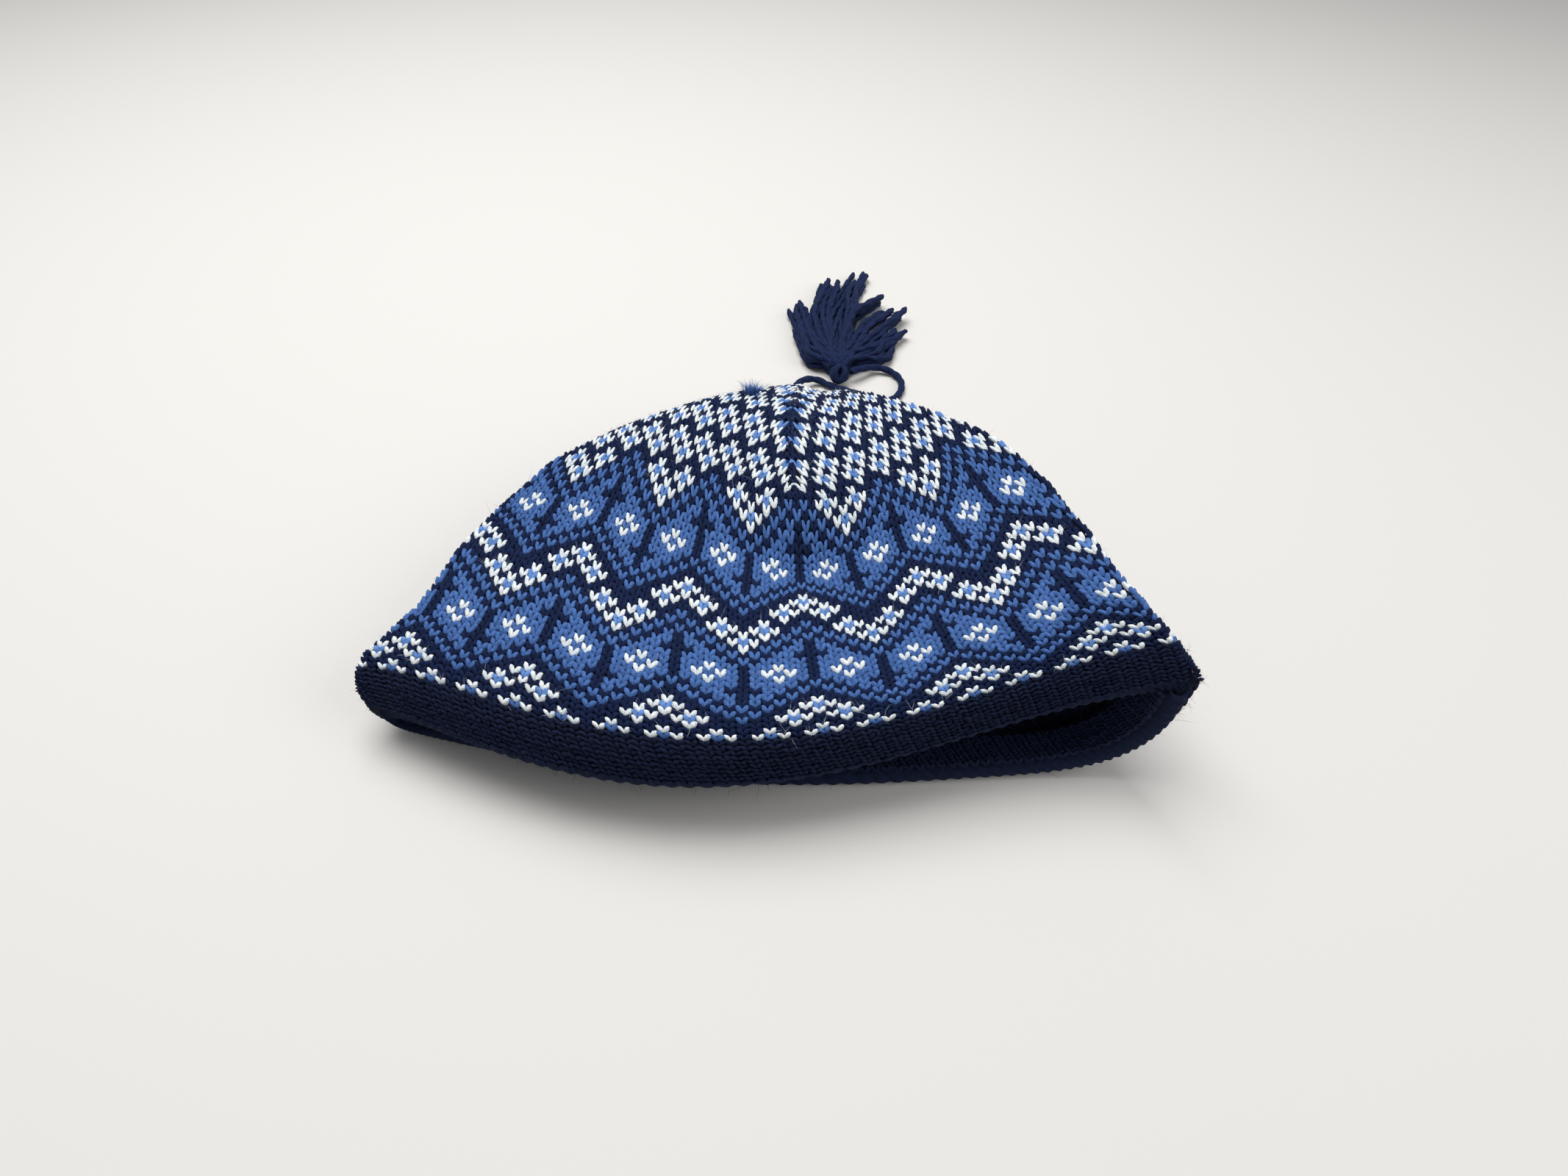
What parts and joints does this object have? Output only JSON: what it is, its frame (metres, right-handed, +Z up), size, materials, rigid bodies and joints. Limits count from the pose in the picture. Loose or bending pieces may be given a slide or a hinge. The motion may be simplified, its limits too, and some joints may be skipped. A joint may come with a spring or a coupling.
{
  "type": "knitted colourwork beanie with tassel",
  "caption": "Soft knitted beanie with a stranded colourwork pattern, a doubled plain hem and a tassel on a cord, lying flat on its back wall with the opening slightly raised.",
  "frame": {"origin": "on the supporting surface, under the middle of the knit's footprint", "axes": "+X across the opening, +Y from the opening towards the crown, cord and tassel, +Z up off the surface"},
  "size_m": [0.2334, 0.3283, 0.0499],
  "materials": {
    "colourwork_knit": "fuzzy knitted wool, navy with mid-blue and white stranded pattern",
    "hem_knit": "fuzzy knitted wool, plain navy",
    "tassel_yarn": "loose twisted wool yarn, dark navy"
  },
  "bodies": {
    "root": {"knit_body": "colourwork_knit", "hem_facing": "hem_knit", "tassel_cord": "tassel_yarn", "tassel_knot": "tassel_yarn", "tassel": "tassel_yarn"}
  },
  "joints": []
}
